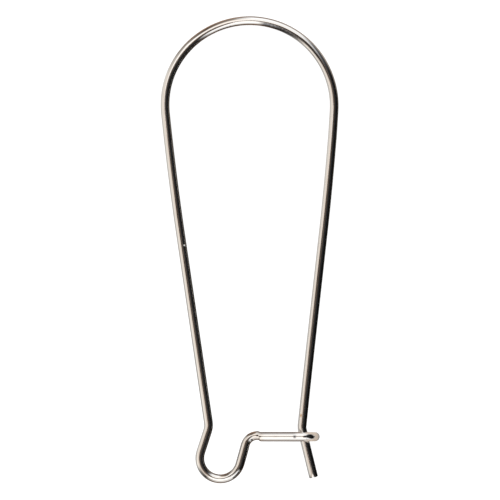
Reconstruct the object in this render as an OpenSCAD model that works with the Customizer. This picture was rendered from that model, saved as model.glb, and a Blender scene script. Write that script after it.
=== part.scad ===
// A long ear wire with a catch, bent from one length of round wire.
// It lies as it rests on a table: +Y from the catch to the arch, +X from the closed side to the
// catch, +Z up, and the origin on the table under the middle of its outline.

/* [Wire] */
// Diameter of the round wire, 21 gauge
wire_d = 0.72; // [0.5:0.02:0.9]

/* [Arch and legs] */
// Overall length, from the top of the arch to the bottom of the drop loop
overall_l = 38; // [34:0.5:44]
// Width across the outside of the arch
arch_w = 14.5; // [13:0.1:17]
// Length of wire in the softly bowed haunch below each end of the arch
haunch_l = 10; // [8:0.5:12]
// Inward lean of the front leg where the arch ends, in degrees
front_lean = 6; // [4.5:0.1:7]
// What the front leg leans in further along its haunch, in degrees
front_bow = 2.5; // [1:0.1:4]
// Inward lean of the catch leg where the arch ends, in degrees
catch_lean = 3.3; // [2:0.1:4.5]
// What the catch leg leans in further along its haunch, in degrees
catch_bow = 3.1; // [1.5:0.1:4.5]

/* [Drop loop] */
// Bend radius of the neck, where the front leg turns outward
neck_r = 1.5; // [0.8:0.1:2.5]
// Angle of the neck's bend, in degrees
neck_bend = 26.5; // [20:0.5:32]
// Straight wire from the neck to the drop loop
neck_l = 1.8; // [1:0.1:2.5]
// Bend radius of the drop loop
loop_r = 1.66; // [1.3:0.02:2.1]
// Lean of the riser that climbs from the loop to the catch bar, in degrees
riser_lean = 16; // [5:0.5:25]
// Straight length of the riser
riser_l = 1.6; // [0.8:0.1:2.4]
// Bend radius of the shoulder, where the riser turns into the catch bar
shoulder_r = 0.95; // [0.6:0.05:1.4]

/* [Catch] */
// Free space between the hook and the leg that lies in it
catch_gap = 0.2; // [0.1:0.02:0.5]
// Length of the hook's arm under the leg, from the bend to its cut end
arm_l = 1.3; // [0.8:0.1:2.5]

/* [Tail] */
// Start of the kink above the middle of the catch bar, along the leg's height
kink_above = 0.8; // [0.5:0.05:1.2]
// Bend radius of the kink
kink_r = 0.6; // [0.5:0.05:1.2]
// Angle of the kink, in degrees
kink_bend = 18; // [10:0.1:28]
// What the tail bends on further inside the hook, in degrees
tail_bow = 2.2; // [1:0.1:4]
// Length of the straight tail that stands clear below the catch, to its cut end
tail_l = 2.7; // [1.5:0.1:4]

/* [Rest] */
// Where the arch touches the table, round from its top towards the front leg, in degrees
rest_side = 27; // [10:1:45]

/* [Hidden] */
$fn = 64;

// A stretch of wire is [bend radius, amount]. The amount is the angle of a bend in degrees,
// positive to the left, or the length of a straight, whose radius is 0.
RADIUS = 0;
AMOUNT = 1;
STRAIGHT = 0;
// A spot on the wire is [x, y, heading], in the plane that its stretches lie in
X = 0;
Y = 1;
HEADING = 2;
// Every second stretch is a hair thicker all round than the wire, and its neighbours reach a little
// way into its ends, so that each joint is a clean step and no two round surfaces coincide
hair = 0.004;
joint_reach = 0.02;

// The spot at the far end of stretch s from spot p
function along(p, s) =
    let (h = p[HEADING], a = s[AMOUNT], r = sign(a)*s[RADIUS])
    s[RADIUS] == STRAIGHT
        ? [p[X] + a*cos(h), p[Y] + a*sin(h), h]
        : [p[X] + r*(sin(h + a) - sin(h)), p[Y] - r*(cos(h + a) - cos(h)), h + a];

// The spots at the start and at the end of every stretch in a run from spot p
function spots(p, run) =
    [for (i = 0, q = p; i <= len(run); q = i < len(run) ? along(q, run[i]) : q, i = i + 1) q];

function end_spot(p, run) = spots(p, run)[len(run)];

// A long soft bow of a given length and angle
function bow(l, a) = [l/abs(a)*180/PI, a];

// The front run goes from the top of the arch over its front side, down the front leg, round the
// drop loop and up to the catch bar. The leg's length makes up the overall length, which spans
// middle_h between the middles of the wire at its two ends.
arch_r = (arch_w - wire_d)/2;
front_top = [0, 0, 180];
front_arch = [[arch_r, 90 + front_lean], bow(haunch_l, front_bow)];
haunch_end = end_spot(front_top, front_arch);
neck = [[neck_r, -neck_bend], [STRAIGHT, neck_l]];
neck_end = end_spot([0, 0, haunch_end[HEADING]], neck);
loop_drop = loop_r*(1 - cos(neck_end[HEADING])) - neck_end[Y];
middle_h = overall_l - wire_d;
front_leg_l = (middle_h + haunch_end[Y] - loop_drop)/-sin(haunch_end[HEADING]);
loop_bend = 180 - riser_lean + neck_bend - front_lean - front_bow;
front_run = concat(front_arch, [[STRAIGHT, front_leg_l]], neck,
    [[loop_r, loop_bend], [STRAIGHT, riser_l], [shoulder_r, riser_lean - 90]]);
bar_start = end_spot(front_top, front_run);

// The catch run goes from the top of the arch down the other side. The hook keeps the leg sprung
// to below the front run's plane, so the catch run lies in a plane swung about the top of the arch.
hook_r = wire_d + catch_gap;
catch_swing = atan(hook_r/-bar_start[Y]);
catch_depth = norm([hook_r, bar_start[Y]]);
catch_top = [0, 0, 0];
catch_arch = [[arch_r, -90 - catch_lean], bow(haunch_l, -catch_bow)];
catch_haunch_end = end_spot(catch_top, catch_arch);
catch_leg_l = (catch_depth - kink_above + catch_haunch_end[Y])/-sin(catch_haunch_end[HEADING]);
leg_and_kink = concat(catch_arch, [[STRAIGHT, catch_leg_l], [kink_r, kink_bend]]);
kink_end = end_spot(catch_top, leg_and_kink);
// The clear tail starts one wire's width below the middle of the bar
hidden_drop = catch_depth + wire_d + kink_end[Y];
tail_heading = kink_end[HEADING] + tail_bow;
hidden_tail = [hidden_drop/(cos(tail_heading) - cos(kink_end[HEADING])), tail_bow];
tail_start = along(kink_end, hidden_tail);
catch_run = concat(leg_and_kink, [hidden_tail, [STRAIGHT, tail_l]]);

// The bar reaches to where the leg crosses it, and the hook bends round that crossing
crossing_x = tail_start[X] - wire_d/hidden_drop*(tail_start[X] - kink_end[X]);
bar = [STRAIGHT, crossing_x - bar_start[X]];
hook_run = [[hook_r, -180], [STRAIGHT, arm_l]];

// The wire rests on the side of its arch and on the cut end of the hook's arm, which the hook's
// depth holds below the rest, so it is tilted by the angle between those two
arm_end = [crossing_x - arm_l, bar_start[Y] + middle_h/2];
touch_reach = arch_r + (middle_h/2 - arch_r)*cos(rest_side);
arm_reach = arm_end[X]*sin(rest_side) - arm_end[Y]*cos(rest_side);
rest_tilt = atan(2*hook_r/(touch_reach + arm_reach));

// One stretch of round wire from spot p, d thick and longer than s by reach at its ends
module stretch(p, s, d, reach_back, reach_on) {
    r = s[RADIUS];
    a = s[AMOUNT];
    translate([p[X], p[Y]])
        rotate([0, 0, p[HEADING]])
            if (r == STRAIGHT) {
                translate([-reach_back, 0])
                    rotate([0, 90, 0])
                        cylinder(d = d, h = a + reach_back + reach_on);
            } else {
                back = reach_back/r*180/PI;
                on = reach_on/r*180/PI;
                translate([0, sign(a)*r])
                    rotate([0, 0, a > 0 ? -90 - back : 90 + a - on])
                        rotate_extrude(angle = abs(a) + back + on)
                            translate([r, 0])
                                circle(d = d);
            }
}

// A run of stretches from spot p, whose first is thick or thin, and which may end in a cut
module wire(p, run, thick_first, cut_end) {
    q = spots(p, run);
    for (i = [0 : len(run) - 1]) {
        thick = (i % 2 == 0) == thick_first;
        reach = thick ? 0 : joint_reach;
        is_cut = cut_end && i == len(run) - 1;
        stretch(q[i], run[i], wire_d + (thick ? 2*hair : 0), reach, is_cut ? 0 : reach);
    }
}

// Tilts what lies in the front run's plane until it rests on the table
module laid_down() {
    translate([0, 0, wire_d/2 + touch_reach*sin(rest_tilt)])
        rotate(a = -rest_tilt, v = [cos(rest_side), sin(rest_side), 0])
            translate([0, middle_h/2, 0])
                children();
}

module ear_wire() {
    color("silver")
        laid_down() {
            wire(front_top, concat(front_run, [bar]), thick_first = false, cut_end = false);
            rotate([catch_swing, 0, 0])
                wire(catch_top, catch_run, thick_first = true, cut_end = true);
            translate([crossing_x, bar_start[Y], 0])
                rotate([90, 0, 0])
                    wire([0, 0, 0], hook_run, thick_first = true, cut_end = true);
        }
}

ear_wire();
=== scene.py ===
import bpy
import numpy as np
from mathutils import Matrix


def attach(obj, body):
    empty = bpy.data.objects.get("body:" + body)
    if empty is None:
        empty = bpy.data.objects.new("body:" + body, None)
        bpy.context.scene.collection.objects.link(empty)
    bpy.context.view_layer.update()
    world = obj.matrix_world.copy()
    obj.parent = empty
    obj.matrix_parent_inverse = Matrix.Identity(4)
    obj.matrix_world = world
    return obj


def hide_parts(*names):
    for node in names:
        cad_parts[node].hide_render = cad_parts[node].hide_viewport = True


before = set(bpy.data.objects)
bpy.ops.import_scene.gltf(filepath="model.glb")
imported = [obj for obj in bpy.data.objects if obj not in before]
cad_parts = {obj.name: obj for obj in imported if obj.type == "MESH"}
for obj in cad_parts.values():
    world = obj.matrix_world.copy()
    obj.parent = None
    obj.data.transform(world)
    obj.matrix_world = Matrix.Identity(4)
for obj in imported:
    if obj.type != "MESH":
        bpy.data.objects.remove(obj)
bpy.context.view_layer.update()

# The wire stock
# A long ear wire is one length of 21 gauge wire, drawn round and polished bright. It has no parts
# to join: every section below only adds bends to the same length of wire.
MM = 0.001
wire_d = 0.72*MM
wire_r = wire_d/2


def straight(length):
    """A stretch of wire: its length, its turn to the left and its turn upward, in degrees."""
    return length, 0, 0


def bend(radius, turn):
    """A stretch whose length is the radius times the turn in radians."""
    return radius*np.radians(abs(turn)), turn, 0


def bow(length, turn):
    """A long soft bend of a given length."""
    return length, turn, 0


def reach(heading, stretches):
    """How far level stretches get, as (x, y, heading). An arc's chord is its length times the sine
    of half its turn over that half turn, and it points halfway between the headings of its ends."""
    x = y = 0
    for length, turn, _ in stretches:
        half = np.radians(turn)/2
        chord = length*np.sinc(half/np.pi)
        middle = np.radians(heading) + half
        x, y, heading = x + chord*np.cos(middle), y + chord*np.sin(middle), heading + turn
    return x, y, heading


# The arch and the front leg
# The arch goes through the ear lobe. It is wound round a mandrel, and on both sides it runs out
# into a softly bowed haunch before the leg goes straight.
overall_l = 38*MM
arch_w = 14.5*MM
haunch_l = 10*MM
front_lean = 6
front_bow = 2.5
arch_r = (arch_w - wire_d)/2
middle_h = overall_l - wire_d
crown_heading = 180
front_arch = [bend(arch_r, 90 + front_lean), bow(haunch_l, front_bow)]
_, haunch_y, haunch_heading = reach(crown_heading, front_arch)

# The drop loop and the catch bar
# At the foot of the front leg the wire turns out at a neck and goes round a bowl that the drop
# hangs in. Then it climbs a riser to a shoulder, where pliers turned it square into the catch bar.
neck_r = 1.5*MM
neck_bend = 26.5
neck_l = 1.8*MM
loop_r = 1.66*MM
riser_lean = 16
riser_l = 1.6*MM
shoulder_r = 0.95*MM
neck = [bend(neck_r, -neck_bend), straight(neck_l)]
_, neck_y, neck_heading = reach(haunch_heading, neck)
loop_drop = loop_r*(1 - np.cos(np.radians(neck_heading))) - neck_y
front_leg_l = (middle_h + haunch_y - loop_drop)/-np.sin(np.radians(haunch_heading))
loop_bend = 180 - riser_lean + neck_bend - front_lean - front_bow
front_run = [*front_arch, straight(front_leg_l), *neck, bend(loop_r, loop_bend), straight(riser_l),
             bend(shoulder_r, riser_lean - 90)]
bar_x, bar_y, _ = reach(crown_heading, front_run)

# The catch leg and its tail
# The other leg springs into the hook from the arch's far side. It kinks outward where it crosses the
# bar, so that a thumbnail can lift it out, and ends in a short tail that was nipped off with cutters.
catch_gap = 0.2*MM
catch_lean = 3.3
catch_bow = 3.1
kink_above = 0.8*MM
kink_r = 0.6*MM
kink_bend = 18
tail_bow = 2.2
tail_l = 2.7*MM
hook_r = wire_d + catch_gap
catch_swing = np.arctan(hook_r/-bar_y)
catch_depth = np.hypot(hook_r, bar_y)
catch_haunch = [bend(arch_r, -90 - catch_lean), bow(haunch_l, -catch_bow)]
_, catch_haunch_y, leg_heading = reach(0, catch_haunch)
catch_leg_l = (catch_depth - kink_above + catch_haunch_y)/-np.sin(np.radians(leg_heading))
leg_and_kink = [*catch_haunch, straight(catch_leg_l), bend(kink_r, kink_bend)]
kink_x, kink_y, kink_heading = reach(0, leg_and_kink)
hidden_drop = catch_depth + wire_d + kink_y
hidden_heading = np.radians(kink_heading + tail_bow/2)
hidden_l = hidden_drop/-np.sin(hidden_heading)/np.sinc(np.radians(tail_bow)/2/np.pi)
tail_x = kink_x + hidden_drop/-np.tan(hidden_heading)
crossing_x = tail_x - wire_d/hidden_drop*(tail_x - kink_x)
catch_run = [*leg_and_kink, bow(hidden_l, tail_bow), straight(tail_l)]
# Gone through backwards, from the tail's cut end to the crown, it turns the other way every time
tail_to_crown = [(length, -turn, dip) for length, turn, dip in reversed(catch_run)]

# The hook
# At its far end the bar turns down and back under itself, in a half circle just wide enough for the
# catch leg, and ends in a short arm that was nipped off like the tail.
arm_l = 1.3*MM
bar_l = crossing_x - bar_x
half_turn = 180
hook_run = [straight(bar_l), (hook_r*np.pi, 0, -half_turn), straight(arm_l)]

# How the wire lies
# It is wider at the hook than its own thickness, so on a table it leans: it touches on the side of
# its arch and on the cut end of the hook's arm, and the front leg, bar and bowl stand clear.
rest_side = np.radians(27)
station_step = 0.06*MM
easing = 0.3*MM
easing_samples = 15
arm_end_x, arm_end_y = crossing_x - arm_l, bar_y + middle_h/2
touch_reach = arch_r + (middle_h/2 - arch_r)*np.cos(rest_side)
arm_reach = arm_end_x*np.sin(rest_side) - arm_end_y*np.cos(rest_side)
rest_tilt = np.arctan(2*hook_r/(touch_reach + arm_reach))


def turned(vectors, axis, angle):
    """The vectors turned about an axis by Rodrigues' formula: each keeps its part along the axis,
    and the rest goes round by the cosine and the sine of the angle."""
    axis = np.asarray(axis, float)
    kept = (vectors @ axis)[..., None]*axis
    return kept + (vectors - kept)*np.cos(angle) + np.cross(axis, vectors)*np.sin(angle)


def follow(stretches, heading):
    """The wire's middle line. Its heading and its dip at each station are the turns up to there,
    averaged over the easing length, because a wire has no sudden change of bend, and its place is
    the running sum of the steps in that direction. Gives how far along each station is, its place,
    and the directions along the wire, to its left and out of its top."""
    lengths, turns, dips = np.array(stretches).T
    joints = np.r_[0, np.cumsum(lengths)]
    count = int(round(joints[-1]/station_step))
    far = np.linspace(0, joints[-1], count + 1)
    window = np.linspace(-easing/2, easing/2, easing_samples)

    def eased(total, where):
        return np.radians(np.interp(where[:, None] + window, joints, total).mean(1))

    def directions(where):
        level, dip = (eased(np.r_[0, np.cumsum(t)], where) for t in (turns, dips))
        level = level + np.radians(heading)
        flat = np.zeros_like(level)
        along = np.stack([np.cos(level)*np.cos(dip), np.sin(level)*np.cos(dip), np.sin(dip)], 1)
        left = np.stack([-np.sin(level), np.cos(level), flat], 1)
        return along, left, np.cross(along, left)

    middles = (far[1:] + far[:-1])/2
    steps = directions(middles)[0]*np.diff(far)[:, None]
    places = np.vstack([np.zeros(3), np.cumsum(steps, 0)])
    return far, places, *directions(far)


whole_run = [*tail_to_crown, *front_run, *hook_run]
crown_far = sum(length for length, _, _ in tail_to_crown)
start_heading = crown_heading - sum(turn for _, turn, _ in tail_to_crown)
far, places, along, left, top = follow(whole_run, start_heading)
places -= [np.interp(crown_far, far, places[:, k]) for k in range(3)]

catch_side = far < crown_far
for vectors in (places, along, left, top):
    vectors[catch_side] = turned(vectors[catch_side], [1, 0, 0], catch_swing)
rest_axis = [np.cos(rest_side), np.sin(rest_side), 0]
places = turned(places + [0, middle_h/2, 0], rest_axis, -rest_tilt)
places[:, 2] += wire_r + touch_reach*np.sin(rest_tilt)
along, left, top = (turned(vectors, rest_axis, -rest_tilt) for vectors in (along, left, top))

# The wire's skin
# Drawing leaves the wire truly round, but tight bends flatten it a little. The pliers left dents and
# a slight jog where the shoulder meets the bar, and the cutters left a groove across both ends.
sides = 44
flattening = 0.06
swelling = 0.035
bar_far = crown_far + sum(length for length, _, _ in front_run)
hook_far = bar_far + bar_l
step_far = bar_far + 0.2*MM
# Each dent: its place along the wire, its angle round it from the left side over the top, how deep
# it is, and how far it reaches along and round the wire
dents = [(step_far - 0.06*MM, 70, 0.028*MM, 0.11*MM, 28),
         (step_far + 0.02*MM, 205, 0.025*MM, 0.12*MM, 40),
         (bar_far - 0.45*MM, 122, 0.016*MM, 0.32*MM, 24),
         (crown_far - 27.3*MM, 50, 0.008*MM, 0.10*MM, 14)]
cut_lean = 0.1
groove_depth = 0.11*MM
groove_side = 0.03*MM
groove_half = 0.06*MM
rim_round = 0.06*MM
first_ring = 0.3*MM
cap_rings = 9

# The shoulder stands a little higher than the bar, and this jog fades out along the shoulder
jog = 0.075*MM
jog_half = 0.05*MM
jog_reach = 1.2*MM
bar_drop = 0.025*MM
before_step = 0.5 - 0.5*np.tanh((far - step_far)/jog_half)
fading = np.exp(-(np.clip(step_far - far, 0, None)/jog_reach)**2)
places += left*(jog*before_step*fading - bar_drop*(1 - before_step))[:, None]
# Pliers held the bar, which widened it a little, less and less towards the hook
widening = 0.05
widening_ends = 0.5*MM
before_hook = 0.5 - 0.5*np.tanh((far - hook_far)/widening_ends)
pinched = widening*(1 - before_step)*before_hook
# The hook holds the catch leg sprung, which bows it a hair between there and its haunch
sprung = 0.038*MM
sprung_from, sprung_to = tail_l + hidden_l, crown_far - arch_r*np.pi/2 - 0.25*haunch_l
bowed = np.clip((far - sprung_from)/(sprung_to - sprung_from), 0, 1)
places += left*sprung*(1 - (2*bowed - 1)**4)[:, None]
# The arch was wound a hair off the middle, towards the front leg
arch_sway = 0.022*MM
sway_from, sway_to = middle_h/2 - arch_r - 0.5*MM, middle_h/2 - arch_r + 2.5*MM
places[:, 0] -= arch_sway*np.clip((places[:, 1] - sway_from)/(sway_to - sway_from), 0, 1)


def out_of_round(far, around):
    """The radius of the skin by station and angle. Where the wire bends with a radius R, its half
    width in the bend's plane shrinks by a share of r/R and the other one grows by a smaller share.
    Every dent's depth falls off as a bell curve along the wire and round it."""
    level = np.unwrap(np.arctan2(along[:, 1], along[:, 0]))
    dip = np.arcsin(np.clip(along[:, 2], -1, 1))
    level_bend = np.where(far < hook_far, np.abs(np.gradient(level, far)), 0)*wire_r
    hook_bend = np.where(far < hook_far, 0, np.abs(np.gradient(dip, far)))*wire_r
    wide = 1 - flattening*level_bend + swelling*hook_bend + pinched
    high = 1 + swelling*level_bend - flattening*hook_bend
    radius = wire_r*np.hypot(wide[:, None]*np.cos(around), high[:, None]*np.sin(around))
    for middle, angle, depth, half, half_angle in dents:
        off = np.angle(np.exp(1j*(around - np.radians(angle))))/np.radians(half_angle)
        radius -= depth*np.exp(-((far - middle)/half)**2)[:, None]*np.exp(-off**2)
    return radius


def cut_face(across, up):
    """How far a cut end lies behind its tip: a plane that leans back towards the underside, with an
    upright groove beside the middle and a rim that the cutters rounded over."""
    lean = cut_lean*(wire_r - up)
    groove = groove_depth*np.exp(-((across - groove_side)/groove_half)**2)
    from_rim = np.clip(np.hypot(across, up) - (wire_r - rim_round), 0, rim_round)
    rounded = rim_round - np.sqrt(np.clip(rim_round**2 - from_rim**2, 0, None))
    return lean + groove + rounded


def wire_skin():
    """Rings of points round the middle line: the place, plus the radius times the cosine to the
    left and the sine to the top. Each end is closed by shrinking rings on its cut face. Gives the
    points, where each one was on the wire as it was drawn, straight and round (how far to its left,
    towards its top and along it), which of them lie on a cut face, and how many rings there are."""
    around = np.arange(sides)*2*np.pi/sides
    cosine, sine = np.cos(around), np.sin(around)
    radius = out_of_round(far, around)
    wall = (far > first_ring) & (far < far[-1] - first_ring)
    outward = cosine[:, None]*left[:, None] + sine[:, None]*top[:, None]
    rings = places[:, None] + radius[..., None]*outward
    shares = np.sin(np.linspace(0, np.pi/2, cap_rings + 1))[1:]
    across, up = (wire_r*shares[:, None]*part for part in (cosine, sine))
    behind = cut_face(across, up)

    def cap(end, inward):
        flat = places[end] + across[..., None]*left[end] + up[..., None]*top[end]
        tip = places[end] + inward*along[end]*cut_face(np.array(0), np.array(0))
        return tip, flat + inward*along[end]*behind[..., None]

    tail_tip, tail_cap = cap(0, 1)
    arm_tip, arm_cap = cap(-1, -1)
    skin = np.concatenate([tail_cap, rings[wall], arm_cap[::-1]])
    stations = np.r_[np.full(cap_rings, far[0]), far[wall], np.full(cap_rings, far[-1])]
    drawn = np.stack(np.broadcast_arrays(cosine*wire_r, sine*wire_r, stations[:, None]), 2)
    drawn[:cap_rings, :, 0], drawn[:cap_rings, :, 1] = across, up
    drawn[-cap_rings:, :, 0], drawn[-cap_rings:, :, 1] = across[::-1], up[::-1]
    # The widest ring at each end is where the wall begins, and the others lie on the cut face
    cut = np.zeros(len(stations))
    cut[:cap_rings - 1] = cut[1 - cap_rings:] = 1
    points = np.vstack([skin.reshape(-1, 3), tail_tip, arm_tip])
    drawn = np.vstack([drawn.reshape(-1, 3), [0, 0, far[0]], [0, 0, far[-1]]])
    return points, drawn, np.r_[np.repeat(cut, sides), 1, 1], len(stations)


def ring_faces(rows, sides):
    """Four-sided faces between neighbouring rings, and a fan of triangles to the point at each end."""
    grid = np.arange(rows*sides).reshape(rows, sides)
    on = np.roll(grid, -1, 1)
    quads = np.stack([grid[:-1], on[:-1], on[1:], grid[1:]], 2).reshape(-1, 4)
    first, last = rows*sides, rows*sides + 1
    start = np.stack([np.full(sides, first), on[0], grid[0]], 1)
    end = np.stack([np.full(sides, last), grid[-1], on[-1]], 1)
    return quads.tolist() + start.tolist() + end.tolist()


points, drawn, cut, rows = wire_skin()
skin_mesh = bpy.data.meshes.new("bent_wire")
skin_mesh.from_pydata(points.tolist(), [], ring_faces(rows, sides))
skin_mesh.attributes.new("drawn", "FLOAT_VECTOR", "POINT").data.foreach_set("vector", drawn.ravel())
skin_mesh.attributes.new("cut", "FLOAT", "POINT").data.foreach_set("value", cut)
skin_mesh.shade_smooth()
wire = bpy.data.objects.new("bent_wire", skin_mesh)
bpy.context.scene.collection.objects.link(wire)
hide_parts("ear_wire")
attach(wire, "root")


# The silver finish
# The silver is bright and a little warm. The die left fine lines along the wire, and handling left
# faint clouds of tarnish, most where the pliers held it. The hook's end is worn dull, and a pale
# reflection is painted on it.
class Value:
    """A socket in a material's nodes. Python's signs add Math nodes, and node() adds any other: its
    inputs go by name, or by number as i0, i1 and so on, and a ramp's stops are (position, colour)."""

    def __init__(self, tree, socket=None):
        self.tree = tree
        self.socket = socket

    def node(self, kind, settings=(), output=0, **inputs):
        made = self.tree.nodes.new("ShaderNode" + kind)
        for name, setting in dict(settings).items():
            if name == "stops":
                while len(made.color_ramp.elements) < len(setting):
                    made.color_ramp.elements.new(1)
                for stop, (position, colour) in zip(made.color_ramp.elements, setting):
                    stop.position, stop.color = position, (*colour, 1)
            else:
                setattr(made, name, setting)
        for name, given in inputs.items():
            socket = made.inputs[int(name[1:]) if name[1:].isdigit() else name.replace("_", " ")]
            if isinstance(given, Value):
                self.tree.links.new(given.socket, socket)
            else:
                socket.default_value = given
        return Value(self.tree, made.outputs[output] if made.outputs else None)

    def maths(self, operation, first, second=0.0):
        return self.node("Math", {"operation": operation}, i0=first, i1=second)

    def __add__(self, other):
        return self.maths("ADD", self, other)

    def __sub__(self, other):
        return self.maths("SUBTRACT", self, other)

    def __rsub__(self, other):
        return self.maths("SUBTRACT", other, self)

    def __mul__(self, other):
        return self.maths("MULTIPLY", self, other)

    __radd__, __rmul__ = __add__, __mul__

    def part(self, index):
        """The x, y or z of a vector."""
        return self.node("SeparateXYZ", Vector=self, output=index)

    def between(self, low, high):
        """0 below low, 1 above high and a smooth step in between."""
        return self.node("MapRange", {"interpolation_type": "SMOOTHSTEP"}, Value=self, From_Min=low,
                         From_Max=high)

    def within(self, start, full, fading, end):
        """1 from full to fading, 0 before start and after end, and smooth steps in between."""
        return self.between(start, full)*(1 - self.between(fading, end))

    def near(self, middle, half):
        """1 at the middle, falling smoothly to 0 at half to either side."""
        return 1 - (self - middle).size().between(0.0, half)

    def size(self):
        """The value without its sign."""
        return self.maths("ABSOLUTE", self)

    def limited(self):
        """The value, but never below 0 or above 1."""
        return self.node("Clamp", Value=self)

    def mix(self, first, second):
        """The first colour where this value is 0, and the second where it is 1."""
        return self.node("Mix", {"data_type": "RGBA"}, output=2, i0=self, i6=first, i7=second)


bright, tarnished, rusty = (0.85, 0.838, 0.82, 1), (0.56, 0.47, 0.38, 1), (0.55, 0.36, 0.2, 1)
# The middle colour of the next row is the brown of painted shade
blue_black, painted_shade_brown, sheared = (0.07, 0.076, 0.09, 1), (0.12, 0.09, 0.07, 1), (0.5, 0.47, 0.42, 1)
# The first two colours of the next row tint the painted pale reflection on the hook's end
painted_reflection_cream, painted_reflection_grey, dusty = (0.64, 0.54, 0.45, 1), (0.36, 0.34, 0.33, 1), (0.8, 0.77, 0.73, 1)


def silver_finish():
    """Silver with its marks. Each mark is a share from 0 to 1, worked out from the place on the wire:
    how far to the left of the middle line, and how far along from the crown, the bar or the hook."""
    material = bpy.data.materials.new("silver_wire")
    material.use_nodes = True
    tree = material.node_tree
    surface = tree.nodes["Principled BSDF"]
    start = Value(tree)
    place = start.node("Attribute", {"attribute_name": "drawn"}, output="Vector")
    is_cut = start.node("Attribute", {"attribute_name": "cut"}, output="Fac")
    aside, far_along = place.part(0), place.part(2)
    from_crown, from_bar, from_hook = (far_along - spot for spot in (crown_far, bar_far, hook_far))

    def noise(stretch, scale, detail, roughness=0.5):
        spread = place.node("VectorMath", {"operation": "MULTIPLY"}, i0=place, i1=stretch)
        return place.node("TexNoise", Vector=spread, Scale=scale, Detail=detail, Roughness=roughness)

    die_lines = noise((1, 1, 0.012), 26000, 3.0)
    die_streaks = noise((1, 1, 0.004), 7000, 2.0)
    clouds = noise((1, 1, 0.3), 1900, 3.0, 0.6)
    specks = noise((1, 1, 0.8), 9000, 2.0)
    shear = noise((0.05, 1, 1), 30000, 2.0)

    # Clouds of tarnish, denser where the wire was handled
    handled = from_bar.near(0.0, 1.1*MM) + from_hook.near(0.0, 1.6*MM)
    tarnish = (clouds.between(0.52, 0.74) + specks.between(0.62, 0.72)*0.5)*(0.15 + 0.3*handled)
    tarnish = tarnish.limited()
    # A dark patch inside the arch with a brown fringe, and a dark streak beside it on the catch leg's
    # side
    inside = aside + 0.1*MM*(clouds - 0.5)
    on_arch = from_crown.within(-5.6*MM, -3.6*MM, -1.5*MM, -0.5*MM)
    patch = on_arch*inside.within(0.01*MM, 0.1*MM, 0.24*MM, 0.36*MM)
    fringe = on_arch*inside.near(0.02*MM, 0.06*MM)
    before_arch = from_crown.within(-8.5*MM, -6*MM, -4.6*MM, -3.8*MM)
    streak = before_arch*inside.near(0.085*MM, 0.12*MM)
    dark_patch = (1.1*patch + 1.2*streak).limited()*(1 - 0.2*specks.between(0.45, 0.65))
    # Painted shade of a pit in the bar, a rusty speck on the catch leg and a pale mote on the front leg
    pit_shade = from_hook.near(-0.74*MM, 0.2*MM)*aside.near(0.0, 0.2*MM)
    speck = from_crown.near(-36.25*MM, 0.22*MM)*aside.near(0.17*MM, 0.13*MM)
    mote = from_crown.near(22.4*MM, 0.1*MM)*aside.near(0.18*MM, 0.09*MM)
    # Painted shade: a dark edge along the inner side of the drop loop and the north side of the bar,
    # where they mirror the shaded table
    in_loop = from_bar.within(-11.2*MM, -10.4*MM, -0.6*MM, -0.2*MM)
    on_bar = from_bar.between(-0.3*MM, 0.2*MM)*(1 - from_hook.between(-0.9*MM, -0.4*MM))
    edge = 0.6*in_loop*aside.between(0.23*MM, 0.31*MM) + 0.5*on_bar*aside.between(0.13*MM, 0.25*MM)
    # The hook's end, worn and with a painted pale reflection: its outer curve and, closer to the bar,
    # its two flanks
    outer_curve = (from_hook + 0.9*aside.size()).between(0.6*MM, 0.86*MM)
    flanks = from_hook.between(-0.1*MM, 0.4*MM)*aside.size().between(0.17*MM, 0.25*MM)
    wear_and_painted_reflection = (outer_curve + flanks).limited()*(1 - from_hook.between(1.5*MM, 1.9*MM))

    colour = tarnish.mix(bright, tarnished)
    colour = (speck + 0.6*fringe).mix(colour, rusty)
    # The dark patch and streak, and the painted shade of the pit, in a blue black
    colour = (0.93*dark_patch + pit_shade).mix(colour, blue_black)
    # The painted pale reflection on the hook's end, cream turning grey further round the hook
    painted_reflection_tint = from_hook.between(0.95*MM, 1.25*MM).mix(painted_reflection_cream, painted_reflection_grey)
    # Over all, the painted shade along the inside of the loop and the north side of the bar
    colour = edge.mix(wear_and_painted_reflection.mix(colour, painted_reflection_tint), painted_shade_brown)
    colour = mote.mix(is_cut.mix(colour, sheared), dusty)
    rough = 0.03 + 0.03*die_streaks + 0.02*clouds + 0.08*tarnish + 0.2*is_cut + 0.6*mote + 0.4*wear_and_painted_reflection
    height = die_lines*(1 - is_cut) + 0.6*die_streaks + 0.8*specks + 1.5*shear*is_cut
    relief = place.node("Bump", Height=height, Strength=0.18, Distance=0.004*MM)
    # Less metal where the hook's end is worn, so that its painted pale reflection shows under any light
    metallic = 1 - mote - 0.8*wear_and_painted_reflection
    for name, value in (("Base Color", colour), ("Roughness", rough), ("Metallic", metallic),
                        ("Normal", relief)):
        tree.links.new(value.socket, surface.inputs[name])
    return material


skin_mesh.materials.append(silver_finish())

# The light table and the tent
# The floor is a light table. Round it stands a small light tent, white to the north and south, cream
# to the west and with its dark mouth to the east, and the camera hangs on its arm under a white roof.
# Only the wire shows the tent. It mirrors the tent's foot, below the table, in place of the table.
plain, cool, warm = (1, 1, 1), (0.95, 1, 1.1), (1.04, 0.99, 0.945)
cream, tan, brown = (1.05, 0.995, 0.91), (1.14, 0.98, 0.855), (1.5, 0.93, 0.62)
floor_half = 3.0
floor_grey, floor_glow = 0.3, 0.85
tent_foot, tent_top = -1.5, 138*MM
# The tent's corners, from the north-east by the compass
tent_corners = [(45*MM, 51*MM), (79*MM, -49*MM), (-26*MM, -56*MM), (-166*MM, 191*MM)]


def sheet_of(name, corners, faces, material):
    """A thin sheet that is no part of the ear wire."""
    mesh = bpy.data.meshes.new(name)
    mesh.from_pydata([tuple(c) for c in corners], [], faces)
    mesh.materials.append(material)
    made = bpy.data.objects.new(name, mesh)
    bpy.context.scene.collection.objects.link(made)
    return made


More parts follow.
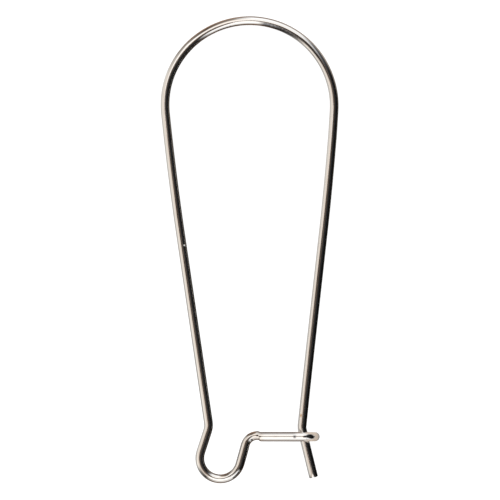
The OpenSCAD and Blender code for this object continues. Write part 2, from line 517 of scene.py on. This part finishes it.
def floor_finish():
    """A sheet that glows by itself and takes only a faint shadow."""
    material = bpy.data.materials.new("light_table")
    material.use_nodes = True
    surface = material.node_tree.nodes["Principled BSDF"]
    surface.inputs["Base Color"].default_value = (floor_grey, floor_grey, floor_grey, 1)
    surface.inputs["Roughness"].default_value = 0.9
    surface.inputs["Specular IOR Level"].default_value = 0.1
    surface.inputs["Emission Color"].default_value = (1, 1, 1, 1)
    surface.inputs["Emission Strength"].default_value = floor_glow
    return material


square = [(-1, -1), (1, -1), (1, 1), (-1, 1)]
floor_corners = [(x*floor_half, y*floor_half, 0) for x, y in square]
floor = sheet_of("floor", floor_corners, [range(4)], floor_finish())
floor.visible_glossy = False

# The light round the tent, by the compass: degrees from north through east, tint and brightness
around_top = [(0, plain, 1.1), (28, plain, 1), (40, cool, 0.13), (48, cool, 0.02), (132, plain, 0.025),
              (140, plain, 0.97), (146, plain, 1.19), (205, warm, 1.6), (215, tan, 0.65),
              (316, tan, 0.85), (328, tan, 0.28), (345, tan, 1.15), (360, plain, 1.1)]
around_walls = [(0, plain, 1.3), (27, plain, 1.1), (36, cool, 0.15), (43, cool, 0.06),
                (48, plain, 0.06), (56, plain, 0.002), (133, plain, 0.002), (137, plain, 0.1),
                (141, plain, 0.38), (146, plain, 0.85), (190, warm, 0.75), (205, cream, 0.42),
                (211, cream, 0.03), (222, cream, 0.23), (236, cream, 1.05), (300, cream, 0.79),
                (316, cream, 0.42), (334, tan, 0.03), (350, cream, 0.27), (360, plain, 1.3)]
around_foot = [(0, brown, 0.13), (45, tan, 0.37), (70, tan, 0.07), (86, tan, 0.03), (100, plain, 0.01),
               (128, brown, 0.02), (148, brown, 0.09), (156, brown, 0.05), (190, brown, 0.12),
               (206, brown, 0.03), (218, warm, 0.18), (235, warm, 0.48), (248, warm, 0.4),
               (300, warm, 0.78), (314, tan, 0.25), (324, brown, 0.18), (340, brown, 0.22),
               (350, brown, 0.22), (360, brown, 0.13)]
# How steeply the light comes where one ring gives way to the next, as the cosine of its angle from
# straight up
foot_to_walls, walls_to_top = (-0.24, 0.16), (0.34, 0.79)


def lit(tint, brightness):
    """A tint at a brightness."""
    return tuple(part*brightness for part in tint)


def glow(name):
    """An emission material and the place on it, from the middle of the tent."""
    material = bpy.data.materials.new(name)
    material.use_nodes = True
    material.node_tree.nodes.clear()
    return material, Value(material.node_tree).node("TexCoord", output="Object")


def shine(place, colour):
    """Makes the material glow in a colour, which may change from place to place."""
    light = place.node("Emission", Color=colour, Strength=1.0)
    place.node("OutputMaterial", Surface=light)


def plain_glow(name, tint, brightness):
    """An emission material of one colour."""
    material, place = glow(name)
    shine(place, (*lit(tint, brightness), 1))
    return material


def tent_finish():
    """Three rings of colours, by the compass: one below the horizon, one above it and one round the
    top, mixed by the cosine of the angle from straight up."""
    material, place = glow("tent_cloth")
    around = place.maths("ARCTAN2", place.part(0), place.part(1))*(0.5/np.pi)
    around = place.maths("FRACT", around + 1.0)
    up = place.node("VectorMath", {"operation": "NORMALIZE"}, i0=place).part(2)

    def ring(stops):
        stops = [(degrees/360, lit(tint, brightness)) for degrees, tint, brightness in stops]
        return place.node("ValToRGB", {"stops": stops}, Fac=around)

    lower = up.between(*foot_to_walls).mix(ring(around_foot), ring(around_walls))
    shine(place, up.between(*walls_to_top).mix(lower, ring(around_top)))
    return material


def mirrored(name, corners, faces, material):
    """A sheet that is seen in the wire only."""
    made = sheet_of(name, corners, faces, material)
    made.visible_camera = made.visible_diffuse = made.visible_shadow = False
    made.visible_transmission = made.visible_volume_scatter = False


def hung(name, level, outline, material):
    """A level sheet that is seen in the wire only, with an outline in millimetres."""
    mirrored(name, [(x*MM, y*MM, level) for x, y in outline], [range(len(outline))], material)


tent_points = [(x, y, z) for z in (tent_foot, tent_top) for x, y in tent_corners]
tent_walls = [(k, (k + 1) % 4, (k + 1) % 4 + 4, k + 4) for k in range(4)]
mirrored("tent", tent_points, tent_walls, tent_finish())

# The roof, the camera and its arm
# Seen from below, the camera and its arm are a ragged bow tie that leaves the roof clear to the north
# and south. Its north-east edge is pale, and a dark bracket hangs lower down.
roof_level, arm_level, pale_edge_level, bracket_level = 262*MM, 258*MM, 204*MM, 72*MM
roof_half = 1500
arm_half = 200
roof_edge = [(x*roof_half, y*roof_half) for x, y in square]
arm_edge = [(-33, 51), (-14, 50), (-21, 66), (-59, 80), (-98, 36), (-200, 43), (-260, -60), (-230, -130),
            (-134, -116), (-68, -58), (-13, -30), (-17, -17), (3, -22), (9, -71), (36, -95),
            (300, -384), (300, 330), (66, 131), (30, 91), (-15, 48), (-12, 43)]
pale_edge = [(2, 38), (72, 97), (80, 104), (23, 59)]
bracket_edge = [(-40, 2), (-38, 9), (-14, 13), (-31, -11)]
# The light on the arm: millimetres from the wire to the east, tint and brightness
along_arm = [(-200, cream, 0.8), (-150, cream, 0.36), (-95, tan, 0.27), (-46, tan, 0.01),
             (-18, tan, 0.03), (-12, tan, 0.34), (-3, tan, 0.24), (6, brown, 0.1), (60, tan, 0.035),
             (140, plain, 0.035)]


def arm_finish():
    """Cream to the west, where the table's light reaches it, then brown and darker to the east."""
    material, place = glow("camera_arm")
    across = place.part(0)*(0.5/(arm_half*MM)) + 0.5
    stops = [(0.5*x/arm_half + 0.5, lit(tint, brightness)) for x, tint, brightness in along_arm]
    shine(place, across.node("ValToRGB", {"stops": stops}, Fac=across))
    return material


hung("roof", roof_level, roof_edge, plain_glow("roof", warm, 1.2))
hung("camera_arm", arm_level, arm_edge, arm_finish())
hung("pale_edge", pale_edge_level, pale_edge, plain_glow("pale_edge", cool, 0.38))
hung("bracket", bracket_level, bracket_edge, plain_glow("bracket", plain, 0.01))

# The card, the room and the window
# A small dark card stands to the south-east of the drop loop. Outside the tent the room is pale, and
# the light of a window in the north-west gives the wire its faint shadow.
card_ends = [(8.8*MM, -25.3*MM), (12.5*MM, -43*MM)]
card_h = 15*MM
window_place = (-0.5, 0.5, 0.9)
window_size = 0.9
window_power = 4.0
card_corners = [(x, y, z) for z in (0, card_h) for x, y in card_ends]
mirrored("loop_card", card_corners, [(0, 1, 3, 2)], plain_glow("card", plain, 0.05))

world = bpy.data.worlds.new("pale_room")
world.use_nodes = True
world.node_tree.nodes["Background"].inputs["Color"].default_value = (1, 1, 1, 1)
world.node_tree.nodes["Background"].inputs["Strength"].default_value = 1.0
bpy.context.scene.world = world

window_light = bpy.data.lights.new("window", "AREA")
window_light.shape = "DISK"
window_light.size = window_size
window_light.energy = window_power
window = bpy.data.objects.new("window", window_light)
window.location = window_place
window.rotation_mode = "QUATERNION"
window.rotation_quaternion = window.location.to_track_quat("Z", "Y")
window.visible_glossy = window.visible_camera = False
bpy.context.scene.collection.objects.link(window)

# The camera
# It looks straight down, as the photograph does, and its distance gives the photograph's slight
# perspective. The frame is 500 pixels wide, and a pixel is 0.08138 mm where the wire lies.
frame_pixels = 500
pixel = 0.08138*MM
wire_level = 1.0*MM
camera_far = 260*MM
camera_x, camera_y = 0.54*pixel, -1.05*pixel
sensor_mm = 36
nearest_seen = 0.01
camera_data = bpy.data.cameras.new("camera")
camera_data.sensor_width = sensor_mm
camera_data.lens = sensor_mm*camera_far/(frame_pixels*pixel)
camera_data.clip_start = nearest_seen
camera = bpy.data.objects.new("camera", camera_data)
camera.location = (camera_x, camera_y, camera_far + wire_level)
bpy.context.scene.collection.objects.link(camera)
bpy.context.scene.camera = camera
bpy.context.scene.view_settings.view_transform = "Standard"
